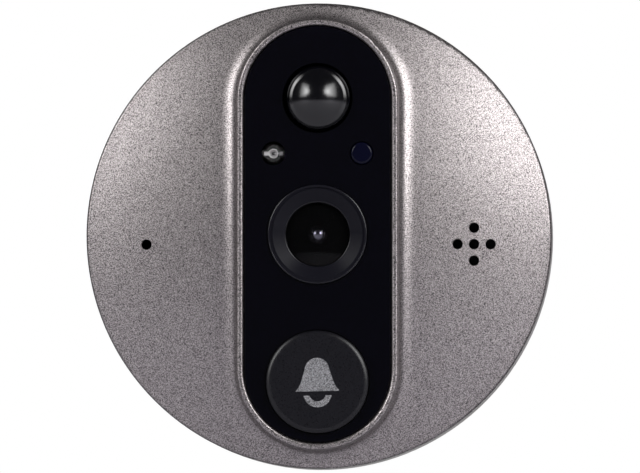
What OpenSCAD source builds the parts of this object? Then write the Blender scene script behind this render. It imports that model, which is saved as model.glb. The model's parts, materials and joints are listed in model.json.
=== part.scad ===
// Outdoor unit of a peephole door camera: a domed round cover with a flared collar, a black
// panel with motion sensor, lamp, light sensor, camera and bell button, the electronics behind
// them, and a rear cover whose hub sits in the door's hole.
// Pieces are drawn lying on their back: x is right, y is up and z points away from the door.
// The finished unit stands up, with its face along -Y, its hub along +Y and its top along +Z.

/* [Body] */
// Diameter of the front cover
body_d = 62; // [59:0.5:68]
// Height of the side wall, from its back edge to the shoulder
side_h = 10.1; // [9.8:0.1:12]
// Radius of the domed face
dome_r = 105; // [100:5:140]
// Thickness of the domed face
face_t = 1.8; // [1.4:0.1:2]
// Thickness of the side wall around the rear cover
side_t = 1.8; // [1.4:0.1:2.2]
// Rounding of the front edge
edge_r = 0.5; // [0.3:0.05:0.5]

/* [Collar] */
// From the collar's ends to the edge of the cover
collar_margin = 2.4; // [2.3:0.1:3.4]
// Height of the collar above the crown of the face
collar_rise = 2.3; // [2:0.1:3]
// Width of the collar's top
ridge_w = 0.82; // [0.7:0.02:1.2]
// Rounding of the collar's edges
ridge_round = 0.3; // [0.2:0.02:0.34]
// Rounding of the bezel's edge and bevel of the panel
lip_bevel = 0.18; // [0.1:0.02:0.26]
// Radius of the flare from the face up to the collar
flare_r = 2.6; // [2.2:0.1:3]
// Width of the flare outside the collar
flare_w = 1.6; // [1.4:0.1:1.7]
// Width of the ledge that carries the panel
ledge_w = 0.9; // [0.7:0.05:1.1]

/* [Front panel] */
// Width of the panel
panel_w = 19.6; // [19.2:0.1:21]
// Thickness of the panel
panel_t = 1.5; // [1.2:0.1:1.8]
// Depth of the panel below the collar's top
panel_recess = 0.35; // [0.2:0.05:0.6]
// Thickness of the adhesive frame under the panel
gasket_t = 0.25; // [0.15:0.05:0.4]

/* [Motion sensor] */
// Diameter of the lens dome
pir_d = 8.3; // [7.8:0.1:8.8]
// Radius of the dome's curve
pir_curve_r = 4.8; // [4.6:0.1:5.4]
// Rounding of the dome's edge
pir_edge_r = 0.5; // [0.4:0.05:0.6]
// Height of the dome's straight side above the panel
pir_side_h = 0.2; // [0.15:0.05:0.4]
// Diameter of the hole in the panel around the dome
pir_hole_d = 9.3; // [9:0.05:9.6]
// From the panel's upper end to the dome's centre
pir_inset = 9.6; // [9:0.1:10.5]
// Wall of the lens dome
pir_wall = 0.7; // [0.5:0.05:0.9]
// Overlap and thickness of the dome's flange under the panel
pir_flange = 0.8; // [0.6:0.1:1]
// Diameter of the sensor's can
pir_can_d = 5.4; // [5:0.1:6]
// Height of the sensor's can
pir_can_h = 3.4; // [2.8:0.1:4]
// Width of the sensor's square window
pir_window_w = 2.4; // [2:0.1:2.8]
// Sheet thickness of the can, and of its window
pir_can_t = 0.3; // [0.2:0.05:0.4]

/* [Lamp and light sensor] */
// Diameter of the lamp and of the light sensor
led_d = 3; // [2.8:0.1:3.4]
// Length of their bodies, from rim to tip
led_len = 5.3; // [4.8:0.1:5.8]
// Diameter of the rim at their feet
led_rim_d = 3.8; // [3.6:0.1:4]
// Height of that rim
led_rim_h = 1; // [0.8:0.1:1.2]
// Height of the light sensor's flat tip above the place where the lamp's round tip begins
sensor_tip_h = 0.5; // [0.45:0.05:0.7]
// Rounding of the light sensor's tip
sensor_edge_r = 0.4; // [0.3:0.05:0.45]
// Distance between the two
led_pitch = 11.74; // [11:0.1:13]
// Their height above the camera's centre
led_y = 10.75; // [10.2:0.05:11]
// Depth below the panel's front at which the lamp's round tip begins
led_sink = 0.4; // [0.2:0.1:1]
// Thickness of a lead
lead_t = 0.5; // [0.4:0.05:0.6]
// Distance between the two leads
lead_pitch = 2; // [1.8:0.05:2.2]
// Diameter of the reflector cup
cup_d = 1.3; // [1:0.05:1.4]
// Diameter of the sleeve under each
spacer_d = 4.4; // [4.2:0.1:4.8]
// Wall of the sleeve
spacer_wall = 0.6; // [0.5:0.05:0.75]

/* [Camera] */
// Diameter of the bezel
bezel_d = 13.2; // [12.6:0.1:13.6]
// Height of the bezel above the panel
bezel_proud = 0.5; // [0.3:0.05:0.8]
// Width of the bezel's lip
bezel_lip_w = 0.35; // [0.25:0.05:0.45]
// Step from the lip down to the shelf
bezel_step = 0.25; // [0.15:0.05:0.35]
// Width of the shelf between the lip and the funnel
bezel_shelf_w = 0.3; // [0.2:0.05:0.4]
// Depth of the funnel
funnel_h = 1.1; // [0.9:0.05:1.2]
// Length of the throat under the funnel
throat_h = 0.4; // [0.3:0.05:0.6]
// Diameter of the throat
throat_d = 8.6; // [8.5:0.05:8.9]
// Rounding between the funnel and the throat
throat_round = 0.15; // [0.1:0.05:0.2]
// Width of the bezel's flange under the panel
bezel_flange_w = 0.8; // [0.6:0.1:1]
// Thickness of that flange
bezel_flange_t = 1; // [0.8:0.1:1.2]
// Diameter of the front glass
glass_d = 8.4; // [8.2:0.05:8.6]
// Radius of the front glass's outer curve
glass_curve_r = 30; // [24:1:40]
// Thickness of the front glass at its edge
glass_edge_t = 0.8; // [0.7:0.05:0.9]
// Depth of the front glass's edge in the barrel
glass_sink = 0.35; // [0.25:0.05:0.45]
// Radius of the hollow in the back of the front glass
hollow_r = 2.05; // [1.9:0.05:2.2]
// Diameter of that hollow's mouth
hollow_d = 2.5; // [2.3:0.05:2.6]
// Diameter of the barrel's head
head_d = 10; // [9.6:0.1:10.4]
// Length of the barrel's head
head_h = 2.6; // [2.2:0.1:2.9]
// Diameter of the barrel's threaded part
thread_d = 7; // [6.6:0.1:7.4]
// Bore of the barrel behind its stop
bore_d = 4.6; // [4.2:0.1:4.9]
// Diameter of the aperture stop
stop_d = 1.6; // [1.2:0.1:2]
// Length of the light way from the front glass to the stop
stop_depth = 1.6; // [1.4:0.1:1.8]
// Thickness of the stop
stop_t = 0.3; // [0.2:0.05:0.4]
// Radius of the inner glass's curve
inner_curve_r = 4; // [3.5:0.1:5]
// Edge thickness of the inner glass
inner_edge_t = 0.5; // [0.4:0.05:0.6]
// Height of the retaining ring
ring_h = 0.6; // [0.4:0.05:0.7]
// Width of the holder's square base
holder_w = 9.4; // [9.2:0.1:10]
// Height of the holder's square base
holder_base_h = 2.4; // [2.2:0.1:2.8]
// Height of the whole holder
holder_h = 4.6; // [4.2:0.1:4.8]
// Width of the room for the image sensor
sensor_room_w = 6.6; // [6.2:0.1:7]
// Height of that room
sensor_room_h = 1.4; // [1.2:0.1:1.5]
// Thickness of the web that carries the filter
filter_web_t = 0.5; // [0.4:0.05:0.6]
// Diameter of the opening in that web
filter_open_d = 4.2; // [3.8:0.1:4.6]
// Diameter of the filter glass
filter_d = 6.4; // [5.6:0.1:6.5]
// Thickness of the filter glass
filter_t = 0.3; // [0.2:0.05:0.4]
// Width of the image sensor
sensor_w = 5; // [4.4:0.1:5.6]
// Thickness of the image sensor
sensor_t = 0.8; // [0.6:0.1:1]

/* [Bell button] */
// Diameter of the button
button_d = 13.6; // [13:0.1:13.8]
// From the panel's lower end to the button's centre
button_inset = 8.1; // [8:0.05:9]
// Height of the button above the panel
button_proud = 1; // [0.8:0.1:1.4]
// Width of the bevel around the button's face
button_bevel = 0.6; // [0.4:0.05:0.8]
// Height of that bevel
button_bevel_h = 0.3; // [0.2:0.05:0.5]
// Travel of the button
button_travel = 0.5; // [0.45:0.05:0.6]
// Wall of the cap
button_wall = 1; // [0.8:0.1:1.2]
// Width of the cap's flange under the panel
button_flange_w = 0.9; // [0.7:0.1:1]
// Thickness of that flange
button_flange_t = 0.9; // [0.7:0.1:1]
// Diameter of the post that presses the switch
post_d = 3.2; // [2.8:0.1:3.6]
// Thickness of the silicone boot's web
boot_web_t = 0.5; // [0.4:0.05:0.6]
// Thickness of the boot's foot and of its top ring
boot_ring_t = 0.8; // [0.6:0.05:1]
// Width of the boot's foot and of its top ring
boot_ring_w = 1.3; // [1:0.1:1.3]
// Width of the square switch
switch_w = 6; // [5.6:0.1:6.2]
// Height of the switch's housing
switch_h = 3.5; // [3.2:0.1:3.8]
// Height of the switch with its stem
switch_stem_h = 5; // [4.6:0.1:5.4]
// Diameter of the stem
stem_d = 3.5; // [3.2:0.1:3.6]
// Width of the stem's collar
stem_collar_w = 0.5; // [0.4:0.05:0.55]
// Height of the stem's collar
stem_collar_h = 0.6; // [0.5:0.05:0.7]
// Sheet thickness of the switch's cover
switch_sheet_t = 0.3; // [0.2:0.05:0.4]
// Floor of the switch's housing
switch_floor_t = 0.8; // [0.6:0.05:0.9]
// Height that the switch's snap spring keeps when the button is pressed
snap_rest_h = 0.25; // [0.2:0.05:0.4]
// Thickness of the snap dome
snap_t = 0.12; // [0.1:0.01:0.15]
// Diameter of the nub with which the stem presses the snap dome
nub_d = 1.6; // [1.2:0.1:2]

/* [Sound] */
// Diameter of a sound hole
sound_d = 1.4; // [1.2:0.1:1.6]
// Distance from the speaker's middle hole to the others
sound_pitch = 2.19; // [2:0.05:2.4]
// Depth of the sound holes' row below the camera's centre
sound_drop = 1.2; // [0:0.1:2]
// From the cover's edge to the speaker's middle hole
speaker_inset = 10.3; // [10:0.1:11]
// From the cover's edge to the microphone's hole
mic_inset = 8.1; // [7.8:0.1:10]
// Diameter of the speaker
speaker_d = 13.2; // [12.6:0.1:13.6]
// Thickness of the speaker
speaker_t = 2.8; // [2.5:0.1:3]
// Wall of the speaker's basket
basket_t = 0.6; // [0.5:0.05:0.7]
// Diameter of the magnet
magnet_d = 8.4; // [7.6:0.1:8.8]
// Height of the magnet
magnet_h = 1.6; // [1.4:0.1:1.7]
// Thickness of the diaphragm
diaphragm_t = 0.25; // [0.2:0.05:0.3]
// Height of the diaphragm's dome
diaphragm_h = 0.5; // [0.4:0.05:0.6]
// Thickness of the foam ring in front of the speaker
speaker_foam_t = 0.5; // [0.4:0.05:0.6]
// Width of the foam ring
speaker_foam_w = 1.8; // [1.4:0.1:2]
// Wall of the speaker's cup in the cover
speaker_cup_t = 1; // [0.8:0.1:1.2]
// Thickness of the mesh behind the sound holes
mesh_t = 0.2; // [0.15:0.05:0.3]
// Width of the microphone
mic_w = 3.8; // [3.4:0.1:4]
// Length of the microphone
mic_l = 3; // [2.8:0.1:3.2]
// Height of the microphone
mic_h = 1.1; // [0.9:0.1:1.3]
// Diameter of the microphone's rubber boot
mic_boot_d = 6; // [5.8:0.1:6.4]
// Height of the boss in the cover that the boot bears on
mic_boss_h = 0.6; // [0.4:0.1:0.9]

/* [Board] */
// Thickness of the main board
board_t = 1.2; // [1:0.1:1.4]
// Space between the rear cover and the main board
board_gap = 1.5; // [1.5:0.1:1.8]
// Space between the main board's edge and the cover
board_edge_gap = 0.8; // [0.5:0.1:1.2]
// Distance of the board screws from the middle, sideways
board_screw_x = 15.5; // [15:0.1:16]
// Distance of the board screws from the middle, up and down
board_screw_y = 14.5; // [14:0.1:15]
// Width of the processor chip
chip_w = 8; // [7:0.5:8]
// Thickness of the processor chip
chip_t = 0.9; // [0.7:0.1:1.2]

/* [Screws] */
// Diameter of the screws
screw_d = 2; // [1.8:0.1:2.2]
// Diameter of the screw heads
screw_head_d = 3.8; // [3.4:0.1:4]
// Height of the screw heads
screw_head_h = 1.2; // [1:0.05:1.3]
// Reach of the screws into the cover's bosses
screw_grip = 4; // [3.4:0.1:4.2]
// Diameter of the screw bosses
boss_d = 4.4; // [4:0.1:4.6]
// From the side wall to the cover screws
cover_screw_inset = 3; // [2.8:0.1:3.4]
// Angle of the first cover screw above the horizontal
cover_screw_angle = 30; // [27:1:33]

/* [Rear cover] */
// Thickness of the rear cover's plate
plate_t = 2.2; // [2:0.1:2.6]
// Thickness of the seal under the plate's edge
seal_t = 0.6; // [0.5:0.05:0.7]
// Width of the seal's seat
seal_w = 1; // [0.9:0.05:1.2]
// Thickness of the foam pad
pad_t = 1; // [0.8:0.1:1.4]
// Depth of the pad's pocket in the rear cover
pad_pocket = 0.5; // [0.3:0.05:0.6]
// Width of bare plate between the hub and the pad
pad_hub_gap = 1.7; // [1.5:0.1:3]
// Width of bare plate between the pad and the screw heads
pad_screw_gap = 1.6; // [1:0.1:3]
// Length of the hub beyond the door's face
hub_len = 6; // [5.6:0.1:12]
// Lead-in bevel on the hub's end
hub_lead_in = 0.3; // [0.2:0.05:0.4]
// Least wall of the hub outside the inserts
hub_wall = 0.6; // [0.5:0.05:1.2]
// Wall between an insert and the cable slot
slot_web = 0.75; // [0.6:0.05:1.2]
// Width of the cable slot
cable_slot_w = 4.9; // [4.8:0.1:6]
// Height of the cable slot
cable_slot_h = 11.5; // [11:0.1:12]
// Diameter of the threaded inserts
insert_d = 4; // [3.8:0.1:4.4]
// Length of the inserts
insert_len = 5; // [4:0.1:5.4]
// Bore of the inserts
insert_bore_d = 2.5; // [2.4:0.05:2.6]
// Height of the cable socket
socket_h = 3.4; // [3:0.1:3.6]
// Length of the cable socket
socket_l = 8.4; // [8:0.1:8.6]
// Wall of the cable socket
socket_wall = 0.5; // [0.4:0.05:0.6]
// Number of contact pins in the socket
socket_pins_n = 6; // [4:1:8]

/* [Clearances] */
// Clearance of pieces that are set into the cover, the panel and each other
fit_gap = 0.08; // [0.05:0.01:0.12]
// Clearance of the rear cover and its seal in the cover's skirt
skirt_gap = 0.15; // [0.1:0.01:0.2]
// Clearance around the moving button
button_gap = 0.15; // [0.12:0.01:0.2]
// Clearance around the switch's stem
stem_gap = 0.06; // [0.04:0.01:0.1]
// Clearance of screws, inserts and lens pieces in their holes
seat_gap = 0.02; // [0.01:0.01:0.04]
// Room left around pieces that must not touch
air_gap = 0.3; // [0.25:0.01:0.35]

/* [Hidden] */
$fn = 96;

// Levels, counted from the door's face
z_back = pad_t - pad_pocket;
z_plate = z_back + plate_t;
z_ledge = z_plate + seal_t;
z_board = z_plate + board_gap;
z_parts = z_board + board_t;
z_shoulder = z_back + side_h;
body_r = body_d / 2;
z_dome = z_shoulder - sqrt(dome_r * dome_r - body_r * body_r);
z_crown = z_dome + dome_r;
z_collar = z_crown + collar_rise;
z_panel = z_collar - panel_recess;
z_under = z_panel - panel_t;
z_seat = z_under - gasket_t;

// Height of the face, and of its underside, at a distance from the axis
function face_z(r) = z_dome + sqrt(dome_r * dome_r - r * r);
function under_z(r) = z_dome + sqrt(pow(dome_r - face_t, 2) - r * r);

// Body and collar
skirt_r = body_r - side_t;
cavity_r = skirt_r - seal_w;
pocket_w = panel_w / 2 + fit_gap;
collar_w = pocket_w + ridge_w;
collar_mid_w = pocket_w + ridge_w / 2;
opening_w = pocket_w - ledge_w;
collar_l = body_r - collar_margin - collar_w;
panel_end = collar_l + panel_w / 2;
collar_foot_z = face_z(body_r - collar_margin) - face_t / 2;
// The flare sinks a little into the face, so that they meet at a clear angle
flare_sink = 0.03;
flare_x = collar_w + flare_w;
flare_y = sqrt(pow(dome_r - flare_sink + flare_r, 2) - flare_x * flare_x);
flare_tilt = asin(collar_l / flare_y);
flare_lap = 2;
flare_hair = 0.01;
flare_hide = 10;

// Places on the panel
pir_y = panel_end - pir_inset;
button_y = button_inset - panel_end;
led_places = [[-led_pitch / 2, led_y], [led_pitch / 2, led_y]];
pir_r = pir_d / 2;
pir_hole_r = pir_hole_d / 2;
// The rounding stands out of the dome's curve by a hair, so that they meet at a clear angle
pir_hair = 0.002;
led_r = led_d / 2;
bezel_r = bezel_d / 2;
button_r = button_d / 2;

// Lamp and light sensor
z_led_eq = z_panel - led_sink;
z_led_foot = z_led_eq + led_r - led_len;
cup_h = 0.4;
cup_depth = 0.28;
cup_floor_d = 0.5;
z_cup = z_led_eq - cup_h - air_gap;
lead_tail = 0.9;
lead_hole_r = lead_t;

// Camera
z_bezel = z_panel + bezel_proud;
z_funnel = z_bezel - bezel_step;
z_throat = z_funnel - funnel_h;
z_bezel_back = z_throat - throat_h;
z_barrel = z_bezel_back - fit_gap;
z_glass_edge = z_barrel - glass_sink;
z_glass_seat = z_glass_edge - glass_edge_t;
z_stop = z_glass_seat - stop_depth;
z_filter_web = z_parts + sensor_room_h;
z_filter = z_filter_web + filter_web_t;
z_barrel_foot = z_filter + filter_t + air_gap;
inner_r = bore_d / 2 - seat_gap;
inner_sag = inner_curve_r - sqrt(inner_curve_r * inner_curve_r - inner_r * inner_r);
glass_sag = glass_curve_r - sqrt(glass_curve_r * glass_curve_r - glass_d * glass_d / 4);

// Bell button
z_button = z_panel + button_proud;
z_button_flange = z_under - seat_gap;
z_button_foot = z_button_flange - button_flange_t;
z_stem = z_parts + switch_stem_h;
z_switch_sheet = z_parts + switch_h - switch_sheet_t;
z_stem_foot = z_switch_sheet - seat_gap - stem_collar_h;
z_switch_floor = z_parts + switch_floor_t;
snap_h = button_travel + snap_rest_h;
z_nub = z_switch_floor + snap_h;
button_top_t = 1.3;
stem_room_r = stem_d / 2 + stem_collar_w + stem_gap;
boot_r = button_r - seat_gap;

// Sound
speaker_at = [body_r - speaker_inset, -sound_drop];
mic_at = [mic_inset - body_r, -sound_drop];
speaker_r = speaker_d / 2;
cup_r = speaker_r + fit_gap;
z_speaker_seat = under_z(norm(speaker_at) + cup_r);
z_speaker = z_speaker_seat - speaker_foam_t;
z_speaker_back = z_speaker - speaker_t;
z_mic_boss = under_z(norm(mic_at) + mic_boot_d / 2) - mic_boss_h;
contact_w = 1.4;
contact_l = 3;
contact_t = 0.25;
contact_x = 3.2;

// Screws and rear cover
screw_r = screw_d / 2;
cover_screw_r = cavity_r - cover_screw_inset;
cover_screw_places = [
    for (side = [0, 180], up = [-1, 1])
        cover_screw_r * [cos(side + up * cover_screw_angle), sin(side + up * cover_screw_angle)]
];
board_screw_places = [for (i = [-1, 1], j = [-1, 1]) [i * board_screw_x, j * board_screw_y]];
board_r = cavity_r - board_edge_gap;
insert_r = insert_d / 2;
insert_x = cable_slot_w / 2 + slot_web + insert_r;
hub_r = insert_x + insert_r + hub_wall;
pad_in_r = hub_r + pad_hub_gap;
pad_out_r = cover_screw_r - screw_head_d / 2 - pad_screw_gap;
socket_w = cable_slot_w - 4 * air_gap;
socket_floor_t = 0.8;
pin_t = 0.3;
pin_h = 1.6;
pir_leg_r = 0.22;
pir_leg_circle = 1.8;
pir_rim_w = 0.4;
pir_rim_h = 0.5;
// Extra length of cutters past the faces that they open
past = 1;

// Colours
paint = [0.52, 0.50, 0.48];
gloss_black = [0.03, 0.03, 0.035];
matt_black = [0.12, 0.12, 0.13];
smoke = [0.08, 0.08, 0.09];
metal = [0.75, 0.75, 0.76];
brass = [0.80, 0.66, 0.34];
rubber_grey = [0.25, 0.25, 0.26];
board_green = [0.10, 0.32, 0.20];
clear = [0.85, 0.90, 0.92];

// Lays a piece drawn on its back upright
module stand() {
    rotate([90, 0, 0]) children();
}

module at(place) {
    translate([place[0], place[1], 0]) children();
}

module rod(r, z0, z1) {
    translate([0, 0, z0]) cylinder(r = r, h = z1 - z0);
}

module ring(r_in, r_out, z0, z1) {
    rotate_extrude() translate([r_in, z0]) square([r_out - r_in, z1 - z0]);
}

module block(w, l, z0, z1) {
    translate([-w / 2, -l / 2, z0]) cube([w, l, z1 - z0]);
}

// Upright prism with straight sides and round ends
module stadium(half_w, half_l, z0, z1) {
    translate([0, 0, z0]) linear_extrude(z1 - z0) {
        square([2 * half_w, 2 * half_l], center = true);
        for (s = [-1, 1]) translate([0, s * half_l]) circle(half_w);
    }
}

// Carries a profile around a stadium path that lies flat
module stadium_sweep(half_l) {
    for (turn = [0, 180]) rotate([0, 0, turn]) {
        rotate([90, 0, 0]) linear_extrude(2 * half_l, center = true) children();
        translate([0, half_l, 0]) rotate_extrude(angle = 180) children();
    }
}

// Carries the flare around a stadium path that lies on the dome: every part of it turns about an
// axis through the dome's centre, so the flare keeps its height above the face all the way. Its
// round ends run a little way into its straights
module flare() {
    translate([0, 0, z_dome]) for (turn = [0, 180]) rotate([0, 0, turn]) {
        rotate(180, [1, 0, 1]) rotate_extrude(angle = 2 * flare_tilt, start = -flare_tilt, $fn = 720)
            mirror([1, -1, 0]) flare_section(0);
        rotate([-flare_tilt, 0, 0]) rotate_extrude(angle = 180 + 2 * flare_lap, start = -flare_lap)
            flare_section(flare_hair);
    }
}

// Half section of the domed shell with its rounded edge, cavity and skirt
module shell_section() {
    edge_z = face_z(body_r - edge_r) - edge_r;
    difference() {
        union() {
            translate([0, z_back]) square([body_r, edge_z - z_back]);
            translate([body_r - edge_r, edge_z]) circle(edge_r);
            intersection() {
                translate([0, z_dome]) circle(dome_r, $fn = 720);
                translate([0, z_back]) square([body_r - edge_r, z_crown + past - z_back]);
            }
        }
        translate([0, z_back - past]) square([skirt_r, z_ledge - z_back + past]);
        intersection() {
            translate([0, z_dome]) circle(dome_r - face_t, $fn = 720);
            translate([0, z_back]) square([cavity_r, z_crown - z_back]);
        }
    }
}

// Section of the flare, measured from the dome's centre, and made slimmer by a hair on its curve and
// ten hairs on its hidden sides
module flare_section(hair) {
    inset = flare_hide * hair;
    foot_y = dome_r - face_t / 2;
    difference() {
        translate([collar_mid_w + inset, foot_y + inset])
            square([flare_x - collar_mid_w - 2 * inset, flare_y - foot_y - 2 * inset]);
        translate([flare_x, flare_y]) circle(flare_r + hair);
    }
}

// Section of the collar: foot with ledge, and ridge with rounded edges
module collar_section() {
    z_round = z_collar - ridge_round;
    translate([opening_w, collar_foot_z]) square([collar_w - opening_w, z_seat - collar_foot_z]);
    translate([pocket_w, collar_foot_z]) square([ridge_w, z_round - collar_foot_z]);
    translate([pocket_w + ridge_round, collar_foot_z])
        square([ridge_w - 2 * ridge_round, z_collar - collar_foot_z]);
    for (x = [pocket_w + ridge_round, collar_w - ridge_round]) translate([x, z_round]) circle(ridge_round);
}

// Bosses and the speaker's cup, from their lower ends into the middle of the face
module cover_bosses() {
    intersection() {
        union() {
            for (p = cover_screw_places) at(p) rod(boss_d / 2, z_plate, z_crown);
            for (p = board_screw_places) at(p) rod(boss_d / 2, z_parts, z_crown);
            at(mic_at) rod(mic_boot_d / 2, z_mic_boss, z_crown);
            at(speaker_at) rod(cup_r + speaker_cup_t, z_speaker_back, z_crown);
        }
        translate([0, 0, z_dome]) sphere(dome_r - face_t / 2, $fn = 720);
        rod(body_r - side_t / 2, 0, z_crown);
    }
}

module sound_holes() {
    at(mic_at) rod(sound_d / 2, z_mic_boss - past, z_crown + past);
    for (p = [[0, 0], [1, 0], [-1, 0], [0, 1], [0, -1]])
        at(speaker_at + sound_pitch * p) rod(sound_d / 2, z_speaker_seat - past, z_crown + past);
}

module front_cover() {
    color(paint) stand() difference() {
        union() {
            difference() {
                union() {
                    rotate_extrude() shell_section();
                    cover_bosses();
                }
                stadium(collar_mid_w, collar_l, z_back - past, z_collar + past);
            }
            flare();
            stadium_sweep(collar_l) collar_section();
        }
        sound_holes();
        at(speaker_at) rod(cup_r, z_ledge, z_speaker_seat);
        for (p = cover_screw_places) at(p) rod(screw_r + seat_gap, z_plate - past, z_plate + screw_grip);
        for (p = board_screw_places) at(p) rod(screw_r + seat_gap, z_parts - past, z_parts + screw_grip);
    }
}

module front_panel() {
    half_w = panel_w / 2;
    color(gloss_black) stand() difference() {
        stadium_sweep(collar_l) polygon([
            [0, z_under], [half_w, z_under], [half_w, z_panel - lip_bevel],
            [half_w - lip_bevel, z_panel], [0, z_panel]
        ]);
        at([0, pir_y]) rod(pir_hole_r, z_under - past, z_panel + past);
        for (p = led_places) at(p) rod(led_r + fit_gap, z_under - past, z_panel + past);
        rod(bezel_r + fit_gap, z_under - past, z_panel + past);
        at([0, button_y]) rod(button_r + button_gap, z_under - past, z_panel + past);
    }
}

module panel_gasket() {
    color(rubber_grey) stand() difference() {
        stadium(panel_w / 2, collar_l, z_seat, z_under);
        stadium(opening_w, collar_l, z_seat - past, z_under + past);
    }
}

// Smoked dome with a straight foot and a flange that is glued under the panel
module pir_dome() {
    inner_r = pir_r - pir_wall;
    z_foot = z_under - pir_flange;
    z_edge = z_panel + pir_side_h;
    edge_x = pir_r - pir_edge_r;
    reach = pir_curve_r - pir_edge_r + pir_hair;
    z_curve = z_edge - sqrt(reach * reach - edge_x * edge_x);
    color(smoke) stand() at([0, pir_y]) rotate_extrude() difference() {
        union() {
            translate([0, z_foot]) square([pir_hole_r + pir_flange, pir_flange]);
            translate([0, z_foot]) square([pir_r, z_edge - z_foot]);
            translate([edge_x, z_edge]) circle(pir_edge_r);
            intersection() {
                translate([0, z_curve]) circle(pir_curve_r);
                translate([0, z_foot]) square([edge_x * pir_curve_r / reach, z_edge + pir_curve_r - z_foot]);
            }
        }
        translate([0, z_foot - past]) square([inner_r, z_panel - z_foot + past]);
        intersection() {
            translate([0, z_curve]) circle(pir_curve_r - pir_wall);
            translate([0, z_foot]) square([inner_r, z_edge + pir_curve_r - z_foot]);
        }
    }
}

module pir_sensor() {
    can_r = pir_can_d / 2;
    z_top = z_parts + pir_can_h;
    color(metal) stand() at([0, pir_y]) {
        difference() {
            rotate_extrude() polygon([
                [0, z_parts], [can_r + pir_rim_w, z_parts], [can_r + pir_rim_w, z_parts + pir_rim_h],
                [can_r, z_parts + pir_rim_h], [can_r, z_top], [0, z_top]
            ]);
            rod(can_r - pir_can_t, z_parts + pir_rim_h, z_top - pir_can_t);
            block(pir_window_w, pir_window_w, z_top - pir_can_t - past, z_top + past);
        }
        for (a = [90, 210, 330])
            rotate([0, 0, a]) translate([pir_leg_circle, 0, 0])
                rod(pir_leg_r, z_board - lead_tail, z_parts + pir_rim_h / 2);
    }
}

module pir_window() {
    z_top = z_parts + pir_can_h - pir_can_t;
    w = (pir_can_d - 2 * pir_can_t - 2 * fit_gap) * sin(45);
    color(smoke) stand() at([0, pir_y]) block(w, w, z_top - pir_can_t, z_top);
}

// Two leads, one of them with the reflector cup on its end, the other with a short flag
module lead_frame() {
    lead_x = lead_pitch / 2;
    for (s = [-1, 1])
        translate([s * lead_x, 0, 0]) block(lead_t, lead_t, z_board - lead_tail, z_cup + cup_h / 2);
    difference() {
        union() {
            rod(cup_d / 2, z_cup, z_cup + cup_h);
            translate([-lead_x - lead_t / 2, -lead_t / 2, z_cup]) cube([lead_x + lead_t / 2, lead_t, cup_h]);
        }
        translate([0, 0, z_cup + cup_h - cup_depth])
            cylinder(d1 = cup_floor_d, d2 = cup_d - lead_t / 2, h = cup_depth);
    }
}

// Body with a rim at its foot, around a lead frame; its tip is the section that is given
module led_body() {
    difference() {
        rotate_extrude() {
            translate([0, z_led_foot]) square([led_rim_d / 2, led_rim_h]);
            translate([0, z_led_foot]) square([led_r, z_led_eq - z_led_foot]);
            translate([0, z_led_eq]) children();
        }
        lead_frame();
    }
}

module ir_led() {
    color(clear) stand() at(led_places[0]) led_body() intersection() {
        circle(led_r);
        square([led_r, led_r]);
    }
}

module light_sensor() {
    flat_r = led_r - sensor_edge_r;
    z_round = sensor_tip_h - sensor_edge_r;
    color(smoke) stand() at(led_places[1]) led_body() {
        square([flat_r, sensor_tip_h]);
        square([led_r, z_round]);
        translate([flat_r, z_round]) circle(sensor_edge_r);
    }
}

module lead_frames() {
    color(metal) stand() for (p = led_places) at(p) lead_frame();
}

module led_spacers() {
    color(matt_black) stand() for (p = led_places)
        at(p) ring(spacer_d / 2 - spacer_wall, spacer_d / 2, z_parts, z_led_foot);
}

// Funnel-shaped ring with a rounded lip, a shelf and a throat, held by a flange under the panel
module lens_bezel() {
    back_r = head_d / 2 + fit_gap;
    lip_r = bezel_r - bezel_lip_w;
    shelf_r = lip_r - bezel_shelf_w;
    throat_r = throat_d / 2;
    flange_r = bezel_r + bezel_flange_w;
    z_foot = z_under - bezel_flange_t;
    lip_round = [bezel_r - lip_bevel, z_bezel - lip_bevel];
    slope = atan2(funnel_h, shelf_r - throat_r);
    reach = throat_round / tan(45 + slope / 2);
    throat_turn = [throat_r + throat_round, z_throat - reach];
    color(matt_black) stand() rotate_extrude() {
        polygon([
            [back_r, z_foot], [flange_r, z_foot], [flange_r, z_under], [bezel_r, z_under],
            [bezel_r, lip_round[1]], lip_round, [lip_round[0], z_bezel], [lip_r, z_bezel],
            [lip_r, z_funnel], [shelf_r, z_funnel],
            [throat_r + reach * cos(slope), z_throat + reach * sin(slope)], throat_turn,
            [throat_r, throat_turn[1]], [throat_r, z_bezel_back], [back_r, z_bezel_back]
        ]);
        translate(lip_round) circle(lip_bevel);
        translate(throat_turn) circle(throat_round);
    }
}

module lens_front_element() {
    r = glass_d / 2;
    hollow_z = z_glass_seat - sqrt(hollow_r * hollow_r - hollow_d * hollow_d / 4);
    color(clear) stand() rotate_extrude() difference() {
        intersection() {
            translate([0, z_glass_edge + glass_sag - glass_curve_r]) circle(glass_curve_r, $fn = 720);
            translate([0, z_glass_seat]) square([r, glass_edge_t + glass_sag + past]);
        }
        translate([0, hollow_z]) circle(hollow_r);
    }
}

// Head with the front glass's cup, light cone, stop and bore, on a threaded tube
module lens_barrel() {
    cup_r = glass_d / 2 + seat_gap;
    color(matt_black) stand() rotate_extrude() polygon([
        [head_d / 2, z_barrel], [cup_r, z_barrel], [cup_r, z_glass_seat], [hollow_d / 2, z_glass_seat],
        [stop_d / 2, z_stop + stop_t], [stop_d / 2, z_stop], [bore_d / 2, z_stop],
        [bore_d / 2, z_barrel_foot], [thread_d / 2, z_barrel_foot],
        [thread_d / 2, z_barrel - head_h], [head_d / 2, z_barrel - head_h]
    ]);
}

module lens_inner_element() {
    z_edge = z_stop - inner_edge_t;
    color(clear) stand() rotate_extrude() intersection() {
        translate([0, z_edge - inner_sag]) square([inner_r, inner_edge_t + inner_sag]);
        translate([0, z_edge - inner_sag + inner_curve_r]) circle(inner_curve_r);
    }
}

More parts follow.
